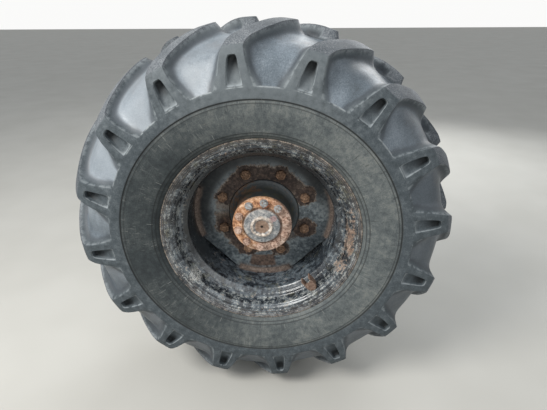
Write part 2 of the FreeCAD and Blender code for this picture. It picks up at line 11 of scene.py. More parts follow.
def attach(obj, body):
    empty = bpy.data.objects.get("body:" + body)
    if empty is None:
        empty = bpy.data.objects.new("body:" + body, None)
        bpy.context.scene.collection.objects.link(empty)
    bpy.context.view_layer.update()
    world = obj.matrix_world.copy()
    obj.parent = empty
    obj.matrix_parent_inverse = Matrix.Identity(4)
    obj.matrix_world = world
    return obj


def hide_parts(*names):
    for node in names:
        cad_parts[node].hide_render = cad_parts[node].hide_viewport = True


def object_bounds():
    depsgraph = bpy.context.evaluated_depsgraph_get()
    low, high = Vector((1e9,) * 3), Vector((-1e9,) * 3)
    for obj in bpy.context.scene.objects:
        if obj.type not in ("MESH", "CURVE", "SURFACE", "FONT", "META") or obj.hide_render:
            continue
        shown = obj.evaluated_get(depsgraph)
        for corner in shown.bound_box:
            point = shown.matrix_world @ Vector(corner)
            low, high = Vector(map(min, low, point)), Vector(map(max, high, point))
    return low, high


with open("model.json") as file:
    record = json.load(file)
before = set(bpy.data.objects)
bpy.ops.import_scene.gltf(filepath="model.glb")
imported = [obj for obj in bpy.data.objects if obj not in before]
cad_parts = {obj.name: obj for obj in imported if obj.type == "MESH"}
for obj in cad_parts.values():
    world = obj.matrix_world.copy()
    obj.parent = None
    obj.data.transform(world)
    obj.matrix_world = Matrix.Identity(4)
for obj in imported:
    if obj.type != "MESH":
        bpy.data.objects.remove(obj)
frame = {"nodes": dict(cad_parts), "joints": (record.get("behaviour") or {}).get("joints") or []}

cad_low, cad_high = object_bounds()

# The wheel's axle lies along Y and its outer side faces -Y. Tables are in millimetres and degrees:
# a station is counted along the axle from the tyre's centre plane, outboard negative, and an angle
# counter-clockwise above +X, seen from outboard.
MM = 0.001
MEETING = 0.01 * MM
WHEEL = Vector(frame["joints"][0]["pos_m"])
AXLE = Vector((0, 1, 0))
luck = random.Random(11)


def place(station, radius, angle=90):
    turn = math.radians(angle)
    return WHEEL + Vector((radius * math.cos(turn), station, radius * math.sin(turn))) * MM


# Modelling by hand

def object_mode():
    if bpy.context.object and bpy.context.object.mode != "OBJECT":
        bpy.ops.object.mode_set(mode="OBJECT")


def start():
    """Nothing selected, in object mode."""
    object_mode()
    bpy.ops.object.select_all(action="DESELECT")


def take(piece):
    """Makes a piece the one in hand."""
    piece.select_set(True)
    bpy.context.view_layer.objects.active = piece


def edit():
    """Edit mode on vertices."""
    bpy.ops.object.mode_set(mode="EDIT")
    bpy.ops.mesh.select_mode(type="VERT")


def pick(kind, test):
    """Selects the faces, edges or vertices of the piece in edit mode that pass a test."""
    bpy.ops.mesh.select_mode(type=kind)
    bpy.ops.mesh.select_all(action="DESELECT")
    form = bmesh.from_edit_mesh(bpy.context.object.data)
    for item in {"VERT": form.verts, "EDGE": form.edges, "FACE": form.faces}[kind]:
        if test(item):
            item.select_set(True)
    form.select_flush_mode()
    bmesh.update_edit_mesh(bpy.context.object.data)


def pick_end(station):
    """Selects the face across the axle at a station."""
    level = place(station, 0).y
    pick("FACE", lambda face: abs(sum(v.co.y for v in face.verts) / len(face.verts) - level) < MEETING)


def face_outwards():
    bpy.ops.mesh.select_all(action="SELECT")
    bpy.ops.mesh.normals_make_consistent(inside=False)


def extrude(step):
    bpy.ops.mesh.extrude_region_move(TRANSFORM_OT_translate={"value": step})


def outboard(distance):
    return 0, -distance * MM, 0


def done(name, smooth=35):
    """Names the piece in hand, sets its place in its mesh and smooths its shallow edges."""
    object_mode()
    piece = bpy.context.object
    piece.select_set(True)
    bpy.ops.object.transform_apply(location=True, rotation=True, scale=True)
    bpy.ops.object.shade_smooth_by_angle(angle=math.radians(smooth))
    piece.name = piece.data.name = name
    return piece


def modify(kind, **settings):
    """Adds a modifier to the piece in hand and applies it."""
    object_mode()
    modifier = bpy.context.object.modifiers.new(kind.lower(), kind)
    for key, value in settings.items():
        setattr(modifier, key, value)
    bpy.ops.object.modifier_apply(modifier=modifier.name)


def ease(width, angle=30, segments=2):
    """Rounds the sharp edges of the piece in hand."""
    modify("BEVEL", width=width * MM, segments=segments, limit_method="ANGLE",
           angle_limit=math.radians(angle), use_clamp_overlap=True)


def rod(corners, radius, length, station, circle=0, angle=90):
    """A cylinder or prism along the axle, with its middle at a station."""
    start()
    bpy.ops.mesh.primitive_cylinder_add(
        vertices=corners, radius=radius * MM, depth=length * MM,
        location=place(station, circle, angle), rotation=(math.pi / 2, 0, 0))
    bpy.ops.object.transform_apply(location=True, rotation=True, scale=True)
    return bpy.context.object


def draw(points, closed=False):
    """A line that is extruded from point to point, all of it selected."""
    start()
    bpy.ops.mesh.primitive_plane_add(size=MM, location=points[0])
    edit()
    bpy.ops.mesh.merge(type="CENTER")
    for before, after in zip(points, points[1:]):
        extrude(after - before)
    if closed:
        pick("VERT", lambda vert: len(vert.link_edges) == 1)
        bpy.ops.mesh.edge_face_add()
    bpy.ops.mesh.select_all(action="SELECT")


def spun(name, outline, steps=128, sweep=360, closed=True, smooth=35, circle=0):
    """An outline of stations and radii, spun about the wheel's axis or about one straight above it."""
    draw([place(station, circle + radius) for station, radius in outline], closed)
    bpy.ops.mesh.spin(steps=steps, angle=math.radians(sweep), center=place(0, circle), axis=AXLE)
    bpy.ops.mesh.select_all(action="SELECT")
    bpy.ops.mesh.remove_doubles(threshold=MEETING)
    face_outwards()
    return done(name, smooth)


def slab(outline, station, thickness, cuts, closed=False):
    """A flat outline of steps aside and radii, drawn out towards the outer side and divided."""
    draw([place(station, radius) + Vector((aside * MM, 0, 0)) for aside, radius in outline], closed)
    bpy.ops.mesh.edge_face_add()
    extrude(outboard(thickness))
    face_outwards()
    bpy.ops.mesh.quads_convert_to_tris()
    bpy.ops.mesh.subdivide(number_cuts=cuts)
    object_mode()
    return bpy.context.object


def copies(piece, name, count, first):
    """Copies of a piece that was made straight above the axle, each with its own mesh, joined in a ring."""
    ring = []
    for index in range(count):
        turn = Matrix.Rotation(-math.radians(first + index * 360 / count - 90), 4, "Y")
        copy = piece.copy()
        copy.data = piece.data.copy()
        bpy.context.collection.objects.link(copy)
        copy.data.transform(Matrix.Translation(WHEEL) @ turn @ Matrix.Translation(-WHEEL))
        ring.append(copy)
    bpy.data.objects.remove(piece)
    start()
    for copy in ring:
        copy.select_set(True)
    take(ring[0])
    bpy.ops.object.join()
    whole = bpy.context.object
    whole.name = whole.data.name = name
    return whole


# Tyre. A cage of rows and columns that follows the lugs, smoothed by a subdivision surface: the lugs
# sweep and taper over a doubly curved casing, which extrudes and bevels of a primitive don't give.

LUGS = 16
PITCH = 360 / LUGS
LUG_ANGLE = 7.0
HALF = 7
COLUMNS = range(-HALF, HALF)
AROUND = LUGS * len(COLUMNS)

SIDEWALL = (
    # station outboard, radius
    (138, 256.4), (158, 254.7), (164.3, 262), (167.8, 277.5), (178.9, 286), (182.5, 288.2),
    (183.4, 290.2), (186.6, 292), (187.2, 294.5), (189.6, 296.4), (190.4, 300), (192.6, 302), (193.4, 306),
    (197.6, 322), (201, 342), (203, 360), (203.3, 374), (204.2, 375.6), (203.6, 377.4), (203.2, 382.4),
    (202.6, 384), (204.6, 387), (205, 391), (205, 402),
)
OUTER_RING = (19, 20, 21)
SIDEWALL_COLUMNS = (39, 47, 58, 20.5, 412.6)
TREAD = (
    # void station, radius, lug station, radius, turn clockwise, half width, knee, foot, recess half, depth
    (204.9, 412.6, 205.0, 412.6, 0.0, 43.5, 49.5, 59, 20.5, 0.0),
    (202.2, 416.4, 204.7, 416.8, 0.0, 42.6, 48.8, 58, 20.0, 0.0),
    (198.4, 422.5, 204.3, 420.6, 0.0, 41.8, 48.2, 58, 19.4, 6.0),
    (187.0, 441.0, 202.0, 446.0, 0.0, 36.8, 44.0, 55, 17.0, 12.5),
    (174.0, 463.0, 199.0, 474.0, 0.2, 31.2, 38.8, 50, 13.4, 21.0),
    (169.2, 471.5, 197.6, 483.5, 0.3, 29.6, 37.2, 48, 11.6, 25.0),
    (166.0, 476.5, 196.4, 488.5, 0.4, 28.6, 36.2, 47, 7.0, 0.0),
    (158.0, 487.0, 190.6, 505.0, 0.7, 25.4, 33.4, 46, 9.0, 0.0),
    (153.0, 492.0, 187.2, 509.4, 0.9, 24.6, 32.8, 46, 10.0, 0.0),
    (137.0, 502.6, 168.0, 523.4, 2.1, 26.0, 34.6, 49, 15.0, 0.0),
    (118.0, 511.0, 146.0, 532.6, 4.1, 28.0, 37.0, 53, 17.0, 0.0),
    (82.0, 519.5, 100.0, 548.8, 8.5, 26.5, 35.4, 51, 16.0, 0.0),
    (46.0, 523.4, 52.0, 558.6, 11.8, 23.8, 32.8, 49, 13.5, 0.0),
)
SHOULDER_ROW = len(SIDEWALL) + 7
RECESS_DEPTH = 21.5
VOID_FOOT_R = 412
VOID_FILL = 40
TIP = (
    # turn clockwise, half width, knee, foot, share of the way to the seam, lug stations from middle
    # to edge, radius
    (14.0, 21.5, 30.5, 48, 0.32, (20, 20, 20.5, 23), 561.8),
    (15.4, 19.0, 29.0, 48, 0.64, (-13, -12.4, -10, -4), 562),
    (15.9, 24.0, 34.0, 52, 0.84, (-21, -20.6, -18, -10), 537),
)
SEAM = (-28, -28, -26, -16, 16, 26, 28, 28)
SEAM_TURN = 16.3
FLOOR_R = 524
# weights by column for the painted highlight on the edge at the feet of the voids
LIP_MARK = (1, 1, 0.2, 0, 0, 0.7, 1, 1)


def column_place(column, half, knee, foot, recess, radius):
    """Distance of a column from a lug's middle line, as an angle."""
    pitch = math.radians(PITCH / 2)
    spots = (0, (recess - 2.4) / radius, recess / radius, half / radius, knee / radius, foot / radius)
    spots += ((spots[5] * 0.55 + pitch * 0.45), pitch)
    return math.degrees(math.copysign(spots[abs(column)], column))


def tyre_rows(side):
    """Rows of (angle, station, radius, void, recess) round one side, from the bead to the seam."""
    phase = LUG_ANGLE if side < 0 else LUG_ANGLE - PITCH / 2
    rows = []
    for station, radius in SIDEWALL:
        rows.append([
            (phase + PITCH * lug + column_place(column, *SIDEWALL_COLUMNS), station, radius, 0, 0)
            for lug in range(LUGS) for column in COLUMNS
        ])
    for void_at, void_r, lug_at, lug_r, turn, half, knee, foot, recess, depth in TREAD:
        row = []
        # the corners at a void's foot are filled in, and the flanks are steep above them
        fill = max(0.0, 1 - (void_r - VOID_FOOT_R) / VOID_FILL)
        shares = (1, 1, 1, 1, 0.34 + fill * 0.5, 0.03 + fill * 0.4, fill * 0.05, 0)
        for lug in range(LUGS):
            for column in COLUMNS:
                share = shares[abs(column)]
                deep = depth if abs(column) <= 1 else 0
                radius = void_r + (lug_r - void_r) * share
                station = void_at + (lug_at - void_at) * share - deep
                angle = phase + PITCH * lug - turn + column_place(column, half, knee, foot, recess, radius)
                void = (1 - share) if void_r > VOID_FOOT_R + 1 else 0
                row.append((angle, station, radius, void, deep / RECESS_DEPTH))
        rows.append(row)
    last_void = TREAD[-1][0]
    for turn, half, knee, foot, way, lug_at, lug_r in TIP:
        row = []
        for lug in range(LUGS):
            for column in COLUMNS:
                near = abs(column)
                share = (1, 1, 1, 1, 0.34 * (1 - way), 0, 0, 0)[near]
                radius = FLOOR_R + (lug_r - FLOOR_R) * share
                station = lug_at[near] if near < 4 else last_void + (SEAM[near] - last_void) * way
                aside = column_place(column, half, knee, foot, half * 0.6, radius)
                row.append((phase + PITCH * lug - turn + aside, station, radius, 1 - share, 0))
        rows.append(row)
    return rows


def from_middle(count):
    """Columns between a place in a row and the nearest lug's middle line."""
    return abs(count % len(COLUMNS) - HALF)


def make_tyre():
    form = bmesh.new()
    crease = form.edges.layers.float.new("crease_edge")
    marks = {word: form.verts.layers.float.new(word) for word in ("void", "top", "recess", "lip")}
    sides = []
    for side in (-1, 1):
        grid = []
        for index, row in enumerate(tyre_rows(side)):
            ring = []
            for count, (angle, station, radius, void, recess) in enumerate(row):
                vert = form.verts.new(place(station * side, radius, angle))
                near = from_middle(count)
                vert[marks["void"]] = void
                vert[marks["recess"]] = recess
                vert[marks["top"]] = 1.0 if index > SHOULDER_ROW and near < 4 and void < 0.1 else 0.0
                vert[marks["lip"]] = LIP_MARK[near]
                ring.append(vert)
            grid.append(ring)
        sides.append(grid)
    seam = []
    for count in range(AROUND):
        angle = LUG_ANGLE - SEAM_TURN + PITCH * (count / len(COLUMNS) - 0.5)
        vert = form.verts.new(place(-SEAM[from_middle(count)], FLOOR_R, angle))
        vert[marks["void"]] = 1
        seam.append(vert)
    for grid, shift in zip(sides, (0, HALF)):
        rings = grid + [[seam[(count - shift) % AROUND] for count in range(AROUND)]]
        for low, high in zip(rings, rings[1:]):
            for count in range(AROUND):
                after = (count + 1) % AROUND
                form.faces.new((low[count], low[after], high[after], high[count]))
    toe, far_toe = sides[0][0], sides[1][0]
    for count in range(AROUND):
        after = (count + 1) % AROUND
        here, there = ((spot + HALF) % AROUND for spot in (count, after))
        form.faces.new((toe[count], toe[after], far_toe[there], far_toe[here]))
    bmesh.ops.recalc_face_normals(form, faces=form.faces)

    def hold(a, b, amount):
        edge = form.edges.get((a, b))
        if edge:
            edge[crease] = max(edge[crease], amount)

    tread = len(SIDEWALL)
    for grid in sides:
        last = len(grid) - 2
        for count in range(AROUND):
            after = (count + 1) % AROUND
            near, next_near = from_middle(count), from_middle(after)

            def hold_across(row, amount):
                hold(grid[row][count], grid[row][after], amount)

            if near == 3:
                for row in range(tread + 1, last):
                    hold(grid[row][count], grid[row + 1][count], 0.75 if row > tread + 2 else 0.45)
            if near == 2:
                for row in range(tread + 1, tread + 6):
                    hold(grid[row][count], grid[row + 1][count], 0.9)
            if near <= 2 and next_near <= 2:
                hold_across(tread + 1, 0.9)
                hold_across(tread + 6, 0.7)
            if near <= 1 and next_near <= 1:
                hold_across(tread + 2, 0.5)
            if near >= 4 and next_near >= 4:
                hold_across(tread, 0.85)
            if near <= 3 and next_near <= 3:
                hold_across(last, 0.7)
            for row in OUTER_RING:
                hold_across(row, 0.5)
    mesh = bpy.data.meshes.new("tyre_visual")
    form.to_mesh(mesh)
    form.free()
    tyre = bpy.data.objects.new("tyre_visual", mesh)
    bpy.context.collection.objects.link(tyre)
    start()
    take(tyre)
    modify("SUBSURF", levels=1, render_levels=1)
    return done("tyre_visual", 42)


# Rim, disc and what fastens them

STUD_CIRCLE = 137.5
FIRST_STUD = 22.5
FLATS = (45, 135, 225, 315)
DISC_ARCS = (0, 90, 180, 270)
HEXAGON = math.cos(math.radians(30))
LIP_OUT = (
    (178.6, 281.6), (178.0, 283.0), (176.4, 283.4), (174.0, 281.6), (169.4, 277.4), (166.2, 270),
    (165, 261.6), (162.4, 256.4), (158, 254.0),
)
LIP_IN = (
    (178.4, 279.8), (176.2, 276.6), (173.4, 271), (171.8, 264.6), (169.8, 257), (166.4, 250.4),
    (161.6, 247.2), (154, 246.2),
)


def outboard_side(points):
    return [(-station, radius) for station, radius in points]


def make_rim():
    """Drop-centre rim with rolled lips, the same on both sides."""
    return spun("rim_visual", [
        *outboard_side(LIP_OUT), (-148, 253.2), (-137, 252.4), (-133.6, 250.6), (-121.4, 227),
        (-118.6, 224.4), (-114, 224), (66, 224), (71, 225), (90, 251), (94, 252.4), (150, 253.2),
        *reversed(LIP_OUT), *LIP_IN, (92, 245.2), (88, 243.4), (72.6, 219.6), (69, 216.8), (64, 216.2),
        (-112, 216.2), (-116.4, 217), (-119.6, 220), (-131.4, 242.8), (-134.6, 245.0), (-140, 245.6),
        *reversed(outboard_side(LIP_IN)),
    ], steps=168)


def make_disc():
    """Thick plate with four flats, a pilot bore and eight stud holes."""
    disc = rod(192, 215.6, 16, -12)
    edit()
    for angle in FLATS:
        bpy.ops.mesh.select_all(action="SELECT")
        spot = place(0, 204, angle)
        away = (spot - WHEEL).normalized()
        bpy.ops.mesh.bisect(plane_co=spot, plane_no=away, use_fill=True, clear_outer=True)
    holes = [(110.4, 0, 90, 128)]
    holes += [(11, STUD_CIRCLE, FIRST_STUD + 45 * index, 32) for index in range(8)]
    for radius, circle, angle, corners in holes:
        drill = rod(corners, radius, 60, -12, circle, angle)
        start()
        take(disc)
        modify("BOOLEAN", operation="DIFFERENCE", object=drill, solver="EXACT")
        bpy.data.objects.remove(drill)
    ease(1.2, 50)
    return done("disc_visual", 30)


def make_welds():
    """Four hand-laid weld runs between the disc's arcs and the well."""
    sweep, crown_r, crown_station, ripples = 46, 215.5, 20, 150
    bead = spun("bead", [
        (-19.6, 215.9), (-30.5, 216.1), (-29.6, 212.4), (-27, 209.4), (-23.6, 207.2), (-19.6, 206.2),
    ], steps=56, sweep=sweep, smooth=60)
    for vert in bead.data.vertices:
        angle = math.atan2(vert.co.z, vert.co.x)
        outward = Vector((math.cos(angle), 0, math.sin(angle)))
        ripple = math.sin(angle * ripples) * 0.6 + luck.uniform(-0.5, 0.5)
        if (vert.co - WHEEL).dot(outward) < crown_r * MM and vert.co.y < WHEEL.y - crown_station * MM:
            vert.co += Vector((0, -1, 0)) * (ripple * 0.7 * MM) - outward * (ripple * MM)
    edit()
    pick("EDGE", lambda edge: edge.is_boundary)
    bpy.ops.mesh.fill()
    face_outwards()
    object_mode()
    # the spin begins straight up, so the ring starts half a run back
    return copies(bead, "welds_visual", 4, 90 - sweep / 2)


def make_flange_bolts():
    """Hexagon heads on washer faces, each top drawn in and raised a little."""
    circle, seat, washer, height = 72.5, -108.3, 1.4, 8
    corner = 9.6 / HEXAGON
    head = rod(6, corner, height, seat - washer - height / 2, circle)
    edit()
    pick_end(seat - washer - height)
    bpy.ops.mesh.inset(thickness=corner * 0.14 * MM)
    bpy.ops.transform.translate(value=outboard(0.12 * height))
    ease(1.6, 20, 3)
    rod(28, corner * 1.12, washer, seat - washer / 2, circle)
    ease(0.5, 50, 1)
    take(head)
    bpy.ops.object.join()
    return copies(done("bolt", 40), "flange_bolts_visual", 10, 85)


def make_nuts():
    """Nuts with a chamfered top round a sunk mouth."""
    middle, height = -25.4, 11
    rod(6, 14 / HEXAGON, height, middle, STUD_CIRCLE)
    edit()
    pick_end(middle - height / 2)
    bpy.ops.mesh.inset(thickness=1.6 * MM)
    bpy.ops.transform.translate(value=outboard(1.2))
    bpy.ops.mesh.inset(thickness=3.2 * MM)
    extrude(outboard(-3.5))
    ease(0.9, 25)
    return copies(done("nut"), "nuts_visual", 8, FIRST_STUD)


def make_studs():
    """The studs from the hub's flange to their chamfered ends, with a few turns of thread."""
    outline = [(-33, 0), (-33, 7.6), (-31.6, 9.4)]
    for turn in range(3):
        outline += [(-30.9 + turn * 1.6, 8.7), (-30.2 + turn * 1.6, 9.5)]
    outline += [(-25, 9.8), (-3.8, 9.8), (-3.8, 0)]
    stud = spun("stud", outline, 20, closed=False, circle=STUD_CIRCLE)
    return copies(stud, "studs_visual", 8, FIRST_STUD)


# Hub, drive flange and brake

def make_hub():
    return spun("hub_visual", [
        (-92, 74.2), (-92, 86.2), (-91, 87), (-60, 87.2), (-40, 87.8), (-34.5, 89.8), (-30.6, 93.8),
        (-27.6, 97.8), (-25.2, 99.8), (-23.6, 102.6), (-22.8, 106.2), (-21.4, 108.2), (-3.9, 108.4),
        (-3.7, 164), (-2.2, 165.7), (16.2, 165.7), (17.9, 164), (17.9, 86), (55, 86), (56, 84.8), (56, 74.2),
    ], steps=144)


def make_half_shaft():
    """Drive flange with its raised boss and ring, in one forging with the shaft and its splined end."""
    return spun("half_shaft_visual", [
        (-114.2, 0), (-114.6, 3.2), (-117, 4.2), (-117.4, 8), (-116.8, 18), (-117.6, 22.4), (-120, 24.4),
        (-121.2, 26.6), (-121.4, 29.4), (-120.2, 31.4), (-117.6, 32.6), (-116.4, 35), (-116.2, 49),
        (-115.2, 52.2), (-112.6, 53.8), (-109.6, 54.8), (-108.2, 57.2), (-108, 60), (-108, 85.2),
        (-107, 87.2), (-105, 88), (-94.2, 88), (-92.3, 87.2), (-92.3, 31), (-84, 24), (-70, 22), (180, 22),
        (182, 23.4), (219, 23.4), (222.4, 20.6), (222.4, 0),
    ], closed=False)


def make_drum():
    return spun("drum_visual", [
        (18.4, 86.6), (18.4, 185), (19.6, 189), (22, 192), (26.4, 194.4), (60, 194.4), (62, 195.8),
        (66, 195.8), (68, 194.4), (86, 194.4), (88, 195.8), (92, 195.8), (94, 194.4), (116, 194.4),
        (118.6, 195.8), (136.6, 195.8), (138, 194.6), (138, 180.4), (30.4, 180.2), (30.4, 86.6),
    ])


def make_spindle():
    return spun("spindle_visual", [
        (-78, 30.2), (-78, 48.6), (-76.6, 50), (-44, 50), (-42, 49), (20, 49), (22, 50), (120, 50), (125, 52),
        (128, 57), (128, 116.6), (129.4, 118), (142.4, 118), (143.7, 116.6), (143.7, 30.2),
    ], steps=112)


def make_backplate():
    """Pressed plate with a rolled rim, a stiffening bead and an edge that laps over the drum."""
    return spun("backplate_visual", [
        (144, 44.4), (144, 128), (144.6, 150), (141.6, 156), (141.6, 168), (144.4, 174), (144, 192),
        (142, 199), (137, 202), (126.4, 202.2), (126.2, 205.8), (139, 206), (145.6, 203.4), (149, 196.6),
        (149.2, 178), (146.4, 171), (146.4, 155), (149.2, 148), (149, 126), (149, 44.4),
    ])


# Valve and its guard

VALVE_R = 229
VALVE_ANGLE = -50


def make_valve():
    """Valve stem with a nut's collar at its foot and a cap on its end."""
    stem = spun("valve", [
        (-156, 0), (-156, 3.4), (-155.2, 4), (-146, 4), (-145.4, 3.4), (-143.6, 3.4), (-143, 4.2),
        (-124, 4.2), (-123.4, 4.9), (-116.2, 4.9), (-116.2, 0),
    ], 28, closed=False, circle=VALVE_R)
    return copies(stem, "valve_stem_visual", 1, VALVE_ANGLE)


def make_guard():
    """Plate bent over the valve with a cover in front, open towards the hub, all of it rusted ragged."""
    arc = [(math.cos(math.radians(way)), math.sin(math.radians(way))) for way in range(0, 181, 15)]
    crown, foot, bend = 230.2, 201.2, 216
    outer, inner, cover = 15, 11, 14.8

    def over(half):
        return [(half * across, crown + abs(half) * up) for across, up in arc]

    channel = [(outer, foot), (outer, bend), *over(outer), (-outer, bend), (-outer, foot)]
    channel += [(-inner, foot), (-inner, bend), *over(-inner), (inner, bend), (inner, foot)]
    guard = slab(channel, -138.2, 23.6, 2, closed=True)
    plate = slab([(13, 214), (cover, 222), *over(cover), (-cover, 222), (-13, 214)], -158.4, 3, 3)
    for vert in plate.data.vertices:
        vert.co.y -= luck.uniform(0, 0.3) * MM
    take(guard)
    bpy.ops.object.join()
    for vert in guard.data.vertices:
        wear = luck.uniform(0, 1.6)
        vert.co += Vector((luck.uniform(-0.25, 0.25), wear, wear)) * MM
    return copies(done("guard", 40), "valve_guard_visual", 1, VALVE_ANGLE)


# Finishes

BLACK = (0.01, 0.012, 0.013)


def sign(operation, reflected=False):
    """What one of Python's signs does to a Number: it adds a Math node."""
    def work(one, other):
        return one.nodes.maths(operation, *((other, one) if reflected else (one, other)))
    return work


class Number:
    """One number that varies over a surface."""

    def __init__(self, nodes, socket):
        self.nodes = nodes
        self.socket = socket

    __add__ = __radd__ = sign("ADD")
    __mul__ = __rmul__ = sign("MULTIPLY")
    __sub__, __rsub__ = sign("SUBTRACT"), sign("SUBTRACT", True)
    __truediv__, __rtruediv__ = sign("DIVIDE"), sign("DIVIDE", True)

    def math(self, operation, *others):
        return self.nodes.maths(operation, self, *others)

    def near(self, middle, reach):
        """1 at a value and 0 beyond a reach from it."""
        return 1 - self.nodes.rise((self - middle).math("ABSOLUTE"), reach * 0.4, reach)


def most(numbers):
    return reduce(lambda one, other: one.math("MAXIMUM", other), numbers)


class Nodes:
    """An empty tree of nodes and the ways to fill it."""

    def __init__(self, owner):
        owner.use_nodes = True
        self.tree = owner.node_tree
        self.tree.nodes.clear()

    def node(self, kind, settings=None, inputs=None):
        """A node of a type, its settings first and then the values or links of its sockets."""
        made = self.tree.nodes.new(kind)
        for key, value in (settings or {}).items():
            if key == "stops":
                ramp = made.color_ramp
                for place_at, colour in value[1:-1]:
                    ramp.elements.new(place_at)
                for element, (place_at, colour) in zip(ramp.elements, value):
                    element.position = place_at
                    element.color = (*colour, 1)
            else:
                setattr(made, key, value)
        for key, value in (inputs or {}).items():
            socket = made.inputs[key]
            if isinstance(value, Number):
                value = value.socket
            if isinstance(value, bpy.types.NodeSocket):
                self.tree.links.new(value, socket)
            elif isinstance(value, tuple) and len(value) == 3 and len(socket.default_value) == 4:
                socket.default_value = (*value, 1)
            else:
                socket.default_value = value
        return made

    def maths(self, operation, *values):
        made = self.node("ShaderNodeMath", {"operation": operation}, dict(enumerate(values)))
        return Number(self, made.outputs[0])

    def rise(self, value, low, high):
        """0 below a value, 1 above another, smooth between them."""
        made = self.node("ShaderNodeMapRange", {"interpolation_type": "SMOOTHSTEP"}, {
            "Value": value, "From Min": low, "From Max": high, "To Min": 0, "To Max": 1})
        return Number(self, made.outputs[0])


class Finish(Nodes):
    """A material in the making. Its places are in metres from the wheel's middle."""

    def __init__(self, name):
        self.material = bpy.data.materials.new(name)
        super().__init__(self.material)
        spot = self.node("ShaderNodeTexCoord").outputs["Object"]
        self.spot = self.vectors("SUBTRACT", spot, tuple(WHEEL))[0]
        parts = self.node("ShaderNodeSeparateXYZ", {}, {0: self.spot}).outputs
        self.x, self.y, self.z = (Number(self, part) for part in parts)
        self.radius = (self.x * self.x + self.z * self.z).math("SQRT")
        self.across = self.x / self.radius
        self.upward = self.z / self.radius

    def vectors(self, operation, one, other):
        return self.node("ShaderNodeVectorMath", {"operation": operation}, {0: one, 1: other}).outputs

    def noise(self, size, detail=3, rough=0.55, spot=None, twist=0.0):
        """Cloudy noise from 0 to 1 whose lumps are about a size in millimetres."""
        made = self.node("ShaderNodeTexNoise", {}, {
            "Vector": spot or self.spot, "Scale": 1000 / size, "Detail": detail, "Roughness": rough,
            "Distortion": twist})
        return Number(self, made.outputs["Fac"])

    def vector(self, x, y, z):
        return self.node("ShaderNodeCombineXYZ", {}, {0: x, 1: y, 2: z}).outputs[0]

    def along_ring(self, stretch, profile):
        """A place for noise that is drawn out round the axle without a joint, or along the radius."""
        return self.vector(self.across * stretch, profile, self.upward * stretch)

    def mark(self, word):
        """What make_tyre marked on the tyre's vertices."""
        return Number(self, self.node("ShaderNodeAttribute", {"attribute_name": word}).outputs["Fac"])

    def shades(self, value, *stops):
        """A number's colour, from stops of a value and its tone."""
        return self.node("ShaderNodeValToRGB", {"stops": stops}, {"Fac": value}).outputs["Color"]

    def blend(self, amount, under, over):
        """One colour over another by an amount."""
        made = self.node("ShaderNodeMix", {"data_type": "RGBA", "blend_type": "MIX", "clamp_factor": True},
                         {0: amount, 6: under, 7: over})
        return made.outputs[2]

    def over(self, amount, tone):
        """A tone over the finish's own colour by an amount."""
        self.colour = self.blend(amount, self.colour, tone)

    def towards(self, angle):
        """1 at an angle round the axle, -1 on the far side."""
        turn = math.radians(angle)
        return self.across * math.cos(turn) + self.upward * math.sin(turn)

    def sector(self, angle, reach, soft=0.25):
        """1 within a reach either side of an angle, faded out beyond."""
        low, high = (math.cos(math.radians(reach * share)) for share in (1 + soft, 1 - soft))
        return self.rise(self.towards(angle), low, high)

    def distance(self, station, radius, angle):
        """Millimetres from a point of the wheel."""
        point = tuple(place(station, radius, angle) - WHEEL)
        return Number(self, self.vectors("DISTANCE", self.spot, point)["Value"]) * 1000

    def patch(self, station, radius, angle, reach, ragged, size):
        """A patch with a ragged edge about a point of the wheel."""
        level = self.distance(station, radius, angle) / reach + (self.noise(size, 3) - 0.5) * ragged * 2
        return 1 - self.rise(level, 0.75, 1.05)

    def bumped(self, height, depth, under=None):
        """A height in millimetres of depth as a normal."""
        inputs = {"Height": height, "Strength": 1.0, "Distance": depth * MM}
        if under is not None:
            inputs["Normal"] = under
        return self.node("ShaderNodeBump", {}, inputs).outputs[0]

    def shader(self, roughness, normal=None, metallic=0.0, specular=0.5):
        inputs = {"Base Color": self.colour, "Roughness": roughness, "Metallic": metallic,
                  "Specular IOR Level": specular}
        if normal is not None:
            inputs["Normal"] = normal
        made = self.node("ShaderNodeBsdfPrincipled", {}, inputs)
        self.node("ShaderNodeOutputMaterial", {}, {"Surface": made.outputs[0]})
        return self.material


